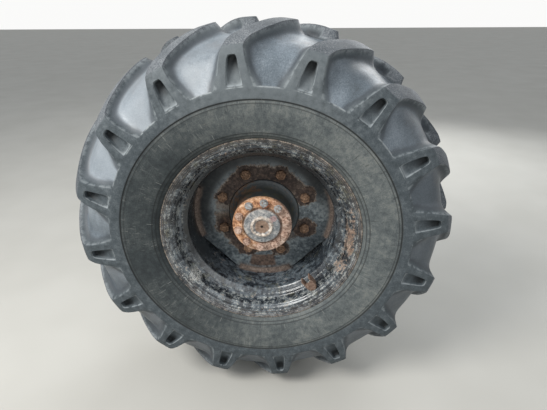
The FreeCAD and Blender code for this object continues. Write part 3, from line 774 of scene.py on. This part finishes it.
def tyre_rubber():
    """Worn rubber: matte sidewall with fine rings and cracks, dust on the void floors, scuffed lug tops, and
    painted light and shade.
    """
    f = Finish("tyre_rubber")
    radius = f.radius * 1000
    void, top, recess = f.mark("void"), f.mark("top"), f.mark("recess")
    cloud, grain, fine = f.noise(90, 4), f.noise(14, 4), f.noise(3, 3)

    # sidewall, with painted light and shade: lighter to the right and towards the top and bottom, darker to
    # the left
    lit = f.rise(f.across * 0.8 + f.upward.math("ABSOLUTE") * 0.25 + (cloud - 0.5) * 0.5, -0.7, 0.8)
    mottle = cloud * 0.25 + grain * 0.4 + fine * 0.25 + f.noise(1.6, 2) * 0.1
    painted_shade_wall = f.shades(mottle, (0.4, (0.015, 0.02, 0.023)), (0.5, (0.029, 0.037, 0.04)),
                    (0.6, (0.052, 0.06, 0.061)))
    painted_light_wall = f.shades(mottle, (0.4, (0.062, 0.073, 0.077)), (0.5, (0.108, 0.121, 0.122)),
                      (0.6, (0.17, 0.18, 0.17)))
    wall = f.blend(lit, painted_shade_wall, painted_light_wall)
    lines = f.noise(2.6, 2, 0.7, spot=f.vector(f.radius, 0, 0))
    wall = f.blend(f.rise(lines, 0.52, 0.7) * f.rise(cloud, 0.4, 0.6) * 0.3, wall, (0.17, 0.18, 0.175))
    wall = f.blend(f.rise(1 - lines, 0.58, 0.7) * 0.3, wall, (0.018, 0.021, 0.023))
    scuffs = f.rise(f.noise(5, 4, 0.75, twist=0.4), 0.6, 0.7) * f.rise(cloud, 0.45, 0.6)
    wall = f.blend(scuffs * 0.55, wall, (0.19, 0.185, 0.165))
    cracks = f.noise(5, 3, 0.65, spot=f.along_ring(0.35, f.radius * 0.14), twist=0.3)
    wall = f.blend(f.rise(cracks, 0.58, 0.68) * f.rise(cloud, 0.42, 0.58) * 0.45, wall, (0.2, 0.21, 0.2))
    wall = f.blend(f.rise(1 - cracks, 0.6, 0.68) * 0.45, wall, (0.016, 0.019, 0.021))
    ticks = tick_marks(f, radius)
    wall = f.blend(ticks * 0.7, wall, (0.24, 0.25, 0.24))

    # end faces of the lugs
    face = f.shades(grain * 0.6 + fine * 0.4, (0.34, (0.034, 0.044, 0.05)), (0.52, (0.062, 0.076, 0.086)),
                    (0.68, (0.11, 0.126, 0.135)))
    face = f.blend(f.rise(f.upward + (grain - 0.5) * 0.3, 0.75, 1) * 0.5, face, (0.17, 0.19, 0.2))
    over_ring = f.rise(radius, 385, 388)
    f.colour = f.blend(over_ring, wall, face)

    # voids between the lugs: dust, painted shade towards the lower right and on the flanks, and a painted sky
    # reflection towards the upper left
    streak = f.noise(34, 4, 0.6, twist=0.6)
    scratched = f.noise(3, 3, 0.6, spot=f.vector(f.x, f.y * 0.2, f.z))
    hollow = f.shades(cloud * 0.5 + scratched * 0.3 + fine * 0.2, (0.38, (0.07, 0.086, 0.1)),
                      (0.5, (0.125, 0.152, 0.178)), (0.62, (0.215, 0.25, 0.285)))
    # painted shade with dust: the voids darker towards the lower right
    dust_and_painted_light = f.rise(f.upward - f.across * 0.45 + (streak - 0.5) * 0.4, -0.35, 0.9)
    hollow = f.blend((1 - dust_and_painted_light) * 0.6, hollow, (0.045, 0.052, 0.06))
    brown = f.rise(f.noise(60, 4), 0.5, 0.7) * f.rise(radius, 470, 520)
    hollow = f.blend(brown * 0.35, hollow, (0.11, 0.09, 0.078))
    # painted sky reflection: paler bluish grey towards the upper left
    painted_sky_reflection = f.rise(f.upward - f.across + (grain - 0.5) * 0.4, 0.9, 1.4)
    hollow = f.blend(painted_sky_reflection * 0.5, hollow, (0.33, 0.36, 0.39))
    # painted shade on the flanks of the lugs, darker towards each lug
    hollow = f.blend((1 - f.rise(void, 0.7, 1)) * 0.75, hollow, (0.035, 0.042, 0.05))
    f.over(f.rise(void, 0.25, 0.8), hollow)

    # tops of the lugs, painted shade in their recesses, and worn edges
    tread = f.shades(cloud * 0.4 + fine * 0.6, (0.38, (0.05, 0.058, 0.066)), (0.52, (0.115, 0.128, 0.142)),
                     (0.66, (0.25, 0.26, 0.27)))
    f.over(f.rise(top, 0.4, 1), tread)
    # painted shade: the recesses in the lug ends near black
    f.over(f.rise(recess, 0.45, 1) * 0.85, BLACK)
    worn = f.rise(recess, 0.02, 0.1) * (1 - f.rise(recess, 0.14, 0.4)) * f.rise(grain, 0.34, 0.5)
    corner = f.rise(void, 0.02, 0.1) * (1 - f.rise(void, 0.14, 0.45)) * f.rise(grain, 0.4, 0.56)
    f.over(worn * 0.55 + corner * 0.3, (0.34, 0.37, 0.385))

    # grooves darkened with painted shade and dirt, a painted highlight on the edge at the feet of the voids,
    # and specks
    # painted shade with dirt in the grooves of the sidewall
    for ring, width, depth in ((384.4, 3, 0.9), (376.2, 1.8, 0.55), (301, 2.2, 0.6), (292.6, 2, 0.6)):
        f.over(radius.near(ring, width) * depth, BLACK)
    # painted highlight: a pale line on the edge at the feet of the voids, stronger towards the top
    lip = radius.near(415, 2) * f.rise(f.mark("lip"), 0.1, 0.9)
    lip = lip * f.rise(grain, 0.36, 0.56) * f.rise(f.upward, -0.2, 0.9)
    f.over(lip * 0.5, (0.4, 0.43, 0.44))
    specks = f.rise(f.noise(2.2, 2), 0.7, 0.78) * f.rise(cloud, 0.4, 0.6)
    f.over(specks * 0.6, (0.34, 0.33, 0.3))

    smooth = f.rise(void, 0.4, 1) * (1 - f.rise(fine, 0.5, 0.75) * 0.4)
    rough = 0.68 + (grain - 0.5) * 0.3 - smooth * 0.26
    height = grain * (0.55 - smooth * 0.4) + fine * (0.4 - smooth * 0.25)
    height = height + lines * (1 - over_ring) * 0.5 + ticks * 1.5
    return f.shader(rough, f.bumped(height, 0.7), specular=0.4)


def tick_marks(f, radius):
    """Short raised lines across the sidewall beside the rim, where the mould was vented."""
    marks = []
    for index in range(18):
        angle = 2 + index * 20 + index * 37 % 11
        low = 294 + index * 5 % 9
        mark = (1 - f.rise(f.towards(angle - 90).math("ABSOLUTE") * radius, 0.5, 1.1))
        mark = mark * f.rise(f.towards(angle), 0, 0.1)
        marks.append(mark * f.rise(radius, low, low + 1.5) * (1 - f.rise(radius, low + 14, low + 17)))
    return most(marks)


def rim_paint():
    """Chipped black paint: scuffed along the ridges, with rust, weld stains, moss, a splash of paint, and
    painted shade in the well at the top and left.
    """
    f = Finish("rim_paint")
    radius, station = f.radius * 1000, f.y * 1000
    cloud, grain, fine = f.noise(45, 5, 0.6), f.noise(9, 4, 0.65), f.noise(2.4, 3, 0.6)
    drawn = f.noise(11, 5, 0.65, spot=f.along_ring(0.13, f.radius + f.y * 0.7), twist=0.5)
    blotch = cloud * 0.35 + drawn * 0.4 + grain * 0.25 + f.sector(255, 85, 0.5) * 0.03
    f.colour = f.shades(blotch, (0.42, (0.006, 0.008, 0.011)), (0.5, (0.022, 0.028, 0.036)),
                        (0.6, (0.12, 0.145, 0.165)))
    ridges = most(radius.near(ring, width) for ring, width in (
        (219, 4), (233, 3), (245, 5), (253, 4), (262, 4), (271, 3)))
    scuff = f.rise(drawn * 0.45 + grain * 0.25 + fine * 0.3 + ridges * 0.09, 0.59, 0.65)
    scuff = scuff * f.rise(radius, 214, 236)
    f.over(scuff * 0.75, f.shades(fine, (0.4, (0.09, 0.1, 0.105)), (0.6, (0.5, 0.51, 0.48))))
    side_band = f.sector(-6, 24) * f.rise(radius, 238, 246) * (1 - f.rise(radius, 262, 268))
    rust = f.rise(cloud * 0.35 + grain * 0.4 + fine * 0.25 + side_band * 0.09, 0.57, 0.64)
    rusty = f.shades(fine * 0.6 + grain * 0.4, (0.36, (0.075, 0.04, 0.026)), (0.5, (0.22, 0.13, 0.08)),
                     (0.64, (0.5, 0.35, 0.25)))
    f.over(rust * 0.75, rusty)
    for ring, width, depth in ((281.5, 2.6, 0.85), (276.5, 1.6, 0.5), (272.5, 1.2, 0.4), (266.5, 1.4, 0.35)):
        amount = radius.near(ring, width) * f.rise(cloud * 0.5 + grain * 0.5, 0.38, 0.52) * depth
        edge_rust = f.shades(fine, (0.38, (0.11, 0.075, 0.053)), (0.62, (0.46, 0.37, 0.29)))
        f.over(amount * 0.8, edge_rust)
    heat = sum(f.sector(angle, 23, 0.2) for angle in DISC_ARCS)
    heat = heat * (station + 24).near(0, 16) * (1 - f.rise(radius, 217, 225))
    heat = heat * f.rise(grain * 0.5 + cloud * 0.5, 0.36, 0.5)
    burnt = f.shades(grain, (0.3, (0.085, 0.058, 0.045)), (0.7, (0.24, 0.17, 0.14)))
    f.over(heat * 0.85, burnt)
    splash = f.patch(-150, 252, 216, 26, 0.8, 9) * f.rise(fine * 0.4 + grain * 0.6, 0.44, 0.54)
    f.over(splash * 0.85, (0.7, 0.69, 0.65))
    moss = f.rise(f.noise(30, 4, twist=0.6), 0.56, 0.66) * f.rise(grain, 0.4, 0.55)
    f.over(moss * 0.5, (0.075, 0.07, 0.035))
    specks = f.rise(f.noise(1.7, 2), 0.66, 0.74)
    f.over(specks * 0.45, (0.5, 0.51, 0.48))
    # painted shade: the well near the disc near black towards the top and left, except at the welds
    deep = (1 - f.rise(radius + (grain - 0.5) * 20, 224, 240)) * f.sector(120, 105) * (1 - heat)
    f.over(deep * 0.85, (0.007, 0.009, 0.011))
    pressed = (radius * 0.62).math("SINE") * f.rise(radius, 226, 236) * (1 - f.rise(radius, 264, 272))
    height = rust * 0.5 + grain * 0.5 + fine * 0.35 + scuff * 0.3
    normal = f.bumped(height, 0.4, f.bumped(pressed, 0.7))
    return f.shader(0.24 + rust * 0.42 + scuff * 0.2, normal, specular=0.75)


def disc_paint():
    """Dark blue paint with painted shade towards the top's edge, rust round the nuts and weld stains."""
    f = Finish("disc_paint")
    radius = f.radius * 1000
    cloud, grain, fine = f.noise(60, 4), f.noise(8, 4, 0.6), f.noise(2.2, 3)
    f.colour = f.shades(cloud * 0.4 + grain * 0.6, (0.4, (0.036, 0.047, 0.056)), (0.5, (0.1, 0.12, 0.132)),
                        (0.6, (0.21, 0.24, 0.25)))
    # painted shade: near black towards the disc's edge at the top and left
    shaded = f.rise(radius + (grain - 0.5) * 30, 156, 182) * f.sector(105, 95)
    f.over(shaded * 0.9, (0.009, 0.011, 0.013))
    ragged = (cloud - 0.5) * 60 + (grain - 0.5) * 24
    halo = most(
        1 - f.rise(f.distance(-20, STUD_CIRCLE, FIRST_STUD + 45 * index) + ragged, 27, 33)
        for index in range(8))
    filled = most([f.sector(98, 70), f.sector(218, 34)])
    filled = filled * (1 - f.rise(radius + (grain - 0.5) * 20 + (cloud - 0.5) * 30, 151, 161))
    ring_out = most([halo, filled])
    beyond_bore = f.rise(radius, 108, 112)
    ring = ring_out * beyond_bore
    rust = f.shades(grain * 0.6 + fine * 0.4, (0.36, (0.018, 0.01, 0.008)), (0.5, (0.045, 0.027, 0.02)),
                    (0.66, (0.15, 0.088, 0.055)))
    f.over(ring * 0.9, rust)
    edge = ring_out * (1 - ring_out) * 4 * f.rise(fine, 0.45, 0.58)
    f.over(edge * 0.75, (0.34, 0.24, 0.16))
    low_ring = 1 - f.rise(radius + ragged, 128, 138)
    f.over(f.sector(255, 70) * low_ring * beyond_bore * 0.85, rust)
    frayed = radius + (grain - 0.5) * 16
    patch = f.sector(268, 13, 0.12) * f.rise(frayed, 154, 158) * (1 - f.rise(frayed, 196, 200))
    patch_rust = f.shades(grain, (0.36, (0.035, 0.02, 0.014)), (0.64, (0.13, 0.08, 0.056)))
    f.over(patch * 0.9, patch_rust)
    heat = sum(f.sector(angle, 23, 0.2) for angle in DISC_ARCS)
    heat = heat * f.rise(radius + (grain - 0.5) * 10, 196, 206)
    f.over(heat * 0.6, f.shades(grain, (0.3, (0.09, 0.065, 0.052)), (0.7, (0.25, 0.19, 0.155))))
    specks = f.rise(f.noise(1.8, 2), 0.7, 0.77) * f.rise(cloud, 0.4, 0.6)
    f.over(specks * 0.7, (0.5, 0.5, 0.47))
    height = grain * 0.5 + fine * 0.4 + ring * 0.3
    return f.shader(0.45 + ring * 0.35, f.bumped(height, 0.4), specular=0.5)


def hub_paint():
    f = Finish("hub_paint")
    radius, station = f.radius * 1000, f.y * 1000
    cloud, grain, fine = f.noise(40, 4), f.noise(9, 4, 0.6), f.noise(2.4, 3)
    f.colour = f.shades(cloud * 0.5 + grain * 0.5, (0.3, (0.02, 0.024, 0.026)), (0.6, (0.045, 0.05, 0.05)),
                        (0.8, (0.09, 0.095, 0.09)))
    shoulder = f.rise(radius, 93, 98) * (1 - f.rise(station, -20, -10))
    worn = f.shades(grain * 0.7 + fine * 0.3, (0.3, (0.036, 0.042, 0.045)), (0.7, (0.085, 0.098, 0.104)))
    f.over(shoulder * 0.9, worn)
    stain = f.rise(f.noise(30, 4, twist=0.5), 0.5, 0.62) * (1 - shoulder)
    f.over(stain * 0.55, (0.065, 0.062, 0.035))
    rust = f.rise(cloud * 0.5 + grain * 0.5 + f.sector(140, 40) * 0.1, 0.57, 0.66)
    f.over(rust * 0.8, f.shades(fine, (0.3, (0.06, 0.03, 0.018)), (0.7, (0.2, 0.11, 0.06))))
    behind = f.rise(station, -5, 0)
    bare = f.shades(grain, (0.3, (0.05, 0.034, 0.026)), (0.7, (0.13, 0.09, 0.065)))
    f.over(behind * 0.7, bare)
    return f.shader(0.55 + rust * 0.25, f.bumped(grain * 0.6 + fine * 0.4, 0.5))


def flange_rust():
    """Orange rust on the drive flange, pinkish to the left, round a boss of bare steel."""
    f = Finish("flange_rust")
    radius, station = f.radius * 1000, f.y * 1000
    cloud, grain, fine = f.noise(26, 4), f.noise(7, 4, 0.6), f.noise(2.2, 3)
    flaked = cloud * 0.3 + grain * 0.45 + fine * 0.25
    orange = f.shades(flaked, (0.4, (0.12, 0.05, 0.026)), (0.5, (0.5, 0.25, 0.13)), (0.6, (0.8, 0.56, 0.38)))
    pink = f.shades(flaked, (0.4, (0.1, 0.062, 0.048)), (0.5, (0.38, 0.25, 0.19)), (0.6, (0.68, 0.54, 0.45)))
    rust = f.blend(f.rise(f.across - f.upward * 0.5 + (grain - 0.5) * 0.6, -0.3, 0.6), orange, pink)
    f.colour = f.blend(radius.near(57, 4) * 0.7, rust, (0.05, 0.033, 0.025))
    boss = (1 - f.rise(radius, 53, 55.5)) * (1 - f.rise(station, -108, -104))
    steel = f.shades(flaked, (0.4, (0.1, 0.12, 0.135)), (0.5, (0.24, 0.26, 0.27)), (0.6, (0.5, 0.49, 0.46)))
    f.over(boss * 0.92, steel)
    raised = (radius + (cloud - 0.5) * 14 + (grain - 0.5) * 8).near(28.5, 6) * boss
    light = f.shades(grain, (0.38, (0.33, 0.26, 0.21)), (0.6, (0.78, 0.68, 0.58)))
    f.over(raised * 0.85, light)
    centre = (1 - f.rise(radius + (grain - 0.5) * 12, 19, 24)) * boss
    brown = f.shades(cloud * 0.5 + grain * 0.5, (0.3, (0.1, 0.058, 0.038)), (0.65, (0.34, 0.22, 0.15)))
    f.over(centre * 0.9, brown)
    # painted shade: the sunk centre of the boss near black
    f.over((1 - f.rise(radius, 3.4, 5)) * boss, (0.02, 0.015, 0.012))
    red = f.patch(-108, 71, 84, 17, 0.8, 7) * f.rise(grain, 0.42, 0.55)
    f.over(red * 0.75, (0.5, 0.1, 0.07))
    smear = f.patch(-115, 42, 38, 12, 0.9, 6) * f.rise(fine, 0.4, 0.6)
    f.over(smear * 0.6, (0.62, 0.3, 0.26))
    behind = f.rise(station, -90, -84)
    f.over(behind, f.shades(grain, (0.3, (0.13, 0.12, 0.115)), (0.7, (0.34, 0.31, 0.28))))
    return f.shader(0.72 - boss * 0.12, f.bumped(grain * 0.6 + fine * 0.4 + cloud * 0.3, 0.7), specular=0.35)


def plain_rust(name, dark, mid, light, size=6, rough=0.78):
    """Rough rust in three tones."""
    f = Finish(name)
    grain, fine, cloud = f.noise(size, 4, 0.6), f.noise(size * 0.3, 3), f.noise(size * 4, 3)
    f.colour = f.shades(grain * 0.5 + fine * 0.2 + cloud * 0.3, (0.34, dark), (0.5, mid), (0.68, light))
    return f.shader(rough + (grain - 0.5) * 0.2, f.bumped(grain * 0.6 + fine * 0.4, 0.6), specular=0.3)


def bolt_rust():
    """Pinkish rust on the bolt heads, worn to grey-blue steel on those at the top."""
    f = Finish("bolt_rust")
    grain, fine, cloud = f.noise(5, 4, 0.6), f.noise(1.6, 3), f.noise(20, 3)
    level = grain * 0.5 + fine * 0.2 + cloud * 0.3
    f.colour = f.shades(level, (0.38, (0.14, 0.075, 0.05)), (0.5, (0.42, 0.28, 0.215)),
                        (0.62, (0.68, 0.52, 0.43)))
    worn = f.sector(88, 44, 0.1) * f.rise(grain, 0.34, 0.5)
    f.over(worn * 0.85, f.shades(level, (0.38, (0.1, 0.12, 0.13)), (0.62, (0.42, 0.48, 0.5))))
    return f.shader(0.7 + (grain - 0.5) * 0.2, f.bumped(grain * 0.6 + fine * 0.4, 0.6), specular=0.35)


def bearing_steel():
    """Turned steel with a film of grease."""
    f = Finish("bearing_steel")
    rings = f.noise(1.2, 2, spot=f.vector(f.radius, f.y, 0))
    cloud, grain = f.noise(30, 3), f.noise(6, 3)
    grease = f.rise(cloud * 0.6 + grain * 0.4, 0.5, 0.62)
    f.colour = f.shades(rings * 0.5 + grain * 0.5, (0.3, (0.315, 0.315, 0.308)), (0.7, (0.45, 0.45, 0.44)))
    f.over(grease * 0.6, (0.07, 0.055, 0.035))
    return f.shader(0.34 + grease * 0.2, f.bumped(rings * 0.5 + grain * 0.3, 0.2), metallic=0.85)


def axle_paint():
    """Dull black paint with rust and dried mud."""
    f = Finish("axle_paint")
    cloud, grain, fine = f.noise(55, 4), f.noise(9, 4, 0.6), f.noise(2, 3)
    f.colour = f.shades(cloud * 0.5 + grain * 0.5, (0.3, (0.028, 0.029, 0.031)), (0.6, (0.06, 0.062, 0.065)),
                        (0.8, (0.11, 0.11, 0.108)))
    rust = f.rise(cloud * 0.45 + grain * 0.55, 0.57, 0.65)
    f.over(rust * 0.8, f.shades(fine, (0.3, (0.08, 0.04, 0.024)), (0.7, (0.25, 0.14, 0.085))))
    mud = f.rise(f.noise(80, 3) - f.upward * 0.06, 0.52, 0.66) * f.rise(fine, 0.35, 0.6)
    f.over(mud * 0.5, (0.24, 0.2, 0.155))
    height = grain * 0.7 + fine * 0.5 + cloud * 0.4
    return f.shader(0.6 + rust * 0.2, f.bumped(height, 0.9), specular=0.4)


# Making

rust = plain_rust("rusty_steel", (0.055, 0.032, 0.022), (0.15, 0.085, 0.055), (0.3, 0.19, 0.13))
nut_rust = plain_rust("nut_rust", (0.05, 0.03, 0.02), (0.18, 0.108, 0.068), (0.5, 0.32, 0.21), 5)
weld_rust = plain_rust("weld_rust", (0.05, 0.036, 0.03), (0.115, 0.088, 0.074), (0.26, 0.205, 0.17), 5)
guard_rust = plain_rust("guard_rust", (0.09, 0.05, 0.036), (0.19, 0.125, 0.093), (0.34, 0.25, 0.2), 5)
drum_iron = plain_rust("drum_iron", (0.05, 0.036, 0.028), (0.12, 0.088, 0.068), (0.22, 0.165, 0.125), 9)
valve_metal = plain_rust("valve_metal", (0.2, 0.18, 0.15), (0.4, 0.38, 0.33), (0.62, 0.6, 0.54), 4, 0.5)
bright_steel = bearing_steel()
axle_black = axle_paint()

PIECES = (
    # piece, CAD node it stands for, body, slot, finish
    (make_tyre(), "tyre", "wheel", "tyre_rubber", tyre_rubber()),
    (make_rim(), "rim", "wheel", "rim_paint", rim_paint()),
    (make_disc(), "wheel_disc", "wheel", "disc_paint", disc_paint()),
    (make_welds(), "disc_welds", "wheel", "rusty_steel", weld_rust),
    (make_nuts(), "wheel_nuts", "wheel", "rusty_steel", nut_rust),
    (make_studs(), "wheel_studs", "wheel", "rusty_steel", nut_rust),
    (make_hub(), "hub", "wheel", "hub_paint", hub_paint()),
    (make_half_shaft(), "half_shaft", "wheel", "rusty_steel", flange_rust()),
    (make_flange_bolts(), "flange_bolts", "wheel", "rusty_steel", bolt_rust()),
    (make_drum(), "brake_drum", "wheel", "drum_iron", drum_iron),
    (make_spindle(), "axle_spindle", "axle_end", "bearing_steel", bright_steel),
    (make_backplate(), "brake_backplate", "axle_end", "axle_paint", axle_black),
    (make_valve(), "valve_stem", "wheel", "valve_metal", valve_metal),
    (make_guard(), "valve_guard", "wheel", "rusty_steel", guard_rust),
)
for piece, node, body, slot_name, finish in PIECES:
    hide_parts(node)
    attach(piece, body)
    piece.data.materials.clear()
    piece.data.materials.append(finish)

KEPT = (
    # CAD node that stays, its slot, finish
    ("wheel_bearings", "bearing_steel", bright_steel),
    ("axle_casing", "axle_paint", axle_black),
    ("casing_bolts", "rusty_steel", rust),
)
for node, slot_name, finish in KEPT:
    kept = frame["nodes"][node]
    kept.data.materials.clear()
    kept.data.materials.append(finish)

# Floor, light and camera

FLOOR_WIDTH = 60
start()
bpy.ops.mesh.primitive_plane_add(size=FLOOR_WIDTH, location=(0, 0, cad_low.z))
floor = done("floor")
ground = Finish("floor_tone")
ground.colour = ground.shades(ground.noise(400, 2), (0.3, (0.5, 0.487, 0.45)), (0.7, (0.54, 0.527, 0.49)))
floor.data.materials.append(ground.shader(0.9, specular=0.2))

# the backdrop is what the camera and reflections see, the sky is what lights the scene
world = bpy.data.worlds.new("studio")
bpy.context.scene.world = world
studio = Nodes(world)
ray = studio.node("ShaderNodeLightPath").outputs
seen = studio.maths("MAXIMUM", ray["Is Camera Ray"], ray["Is Glossy Ray"])
sky = studio.node("ShaderNodeBackground", {}, {"Color": (0.9, 0.95, 1), "Strength": 0.5}).outputs[0]
backdrop = studio.node("ShaderNodeBackground", {}, {"Color": (0.96, 0.96, 0.95), "Strength": 1}).outputs[0]
choice = studio.node("ShaderNodeMixShader", {}, {0: seen, 1: sky, 2: backdrop}).outputs[0]
studio.node("ShaderNodeOutputWorld", {}, {0: choice})


def soft_light(name, direction, distance, size, power, colour):
    lamp = bpy.data.lights.new(name, "AREA")
    lamp.shape = "DISK"
    lamp.size = size
    lamp.energy = power
    lamp.color = colour
    holder = bpy.data.objects.new(name, lamp)
    bpy.context.collection.objects.link(holder)
    away = Vector(direction).normalized()
    holder.location = WHEEL + away * distance
    holder.rotation_euler = away.to_track_quat("Z", "Y").to_euler()


soft_light("key", (-0.62, -0.52, 0.72), 3.2, 1.4, 105, (1.0, 0.99, 0.96))
soft_light("front", (0.5, -0.8, 0.4), 3.4, 2.6, 22, (0.97, 0.99, 1.0))
soft_light("back", (0.4, 0.9, 0.5), 3.4, 2.6, 60, (0.97, 0.99, 1.0))

# The camera as it was solved from the photo's nuts, rim and tyre
CAMERA_SPOT = (0.0843, -1.4387, 0.5756)
LENS = 27.643
down, aside, tilt = math.radians(24.90), math.radians(-2.625), math.radians(-0.381)
camera = bpy.data.objects.new("camera", bpy.data.cameras.new("camera"))
bpy.context.collection.objects.link(camera)
bpy.context.scene.camera = camera
camera.data.sensor_width = 36
camera.data.lens = LENS
camera.data.clip_start = 0.02
ahead = Vector((math.sin(aside) * math.cos(down), math.cos(aside) * math.cos(down), -math.sin(down)))
right = Vector((math.cos(aside), -math.sin(aside), 0))
up = right.cross(ahead)
level = right * math.cos(tilt) + up * math.sin(tilt)
upright = up * math.cos(tilt) - right * math.sin(tilt)
turned = Matrix((level, upright, -ahead)).transposed().to_4x4()
camera.matrix_world = Matrix.Translation(CAMERA_SPOT) @ turned

bpy.context.scene.view_settings.view_transform = "Standard"
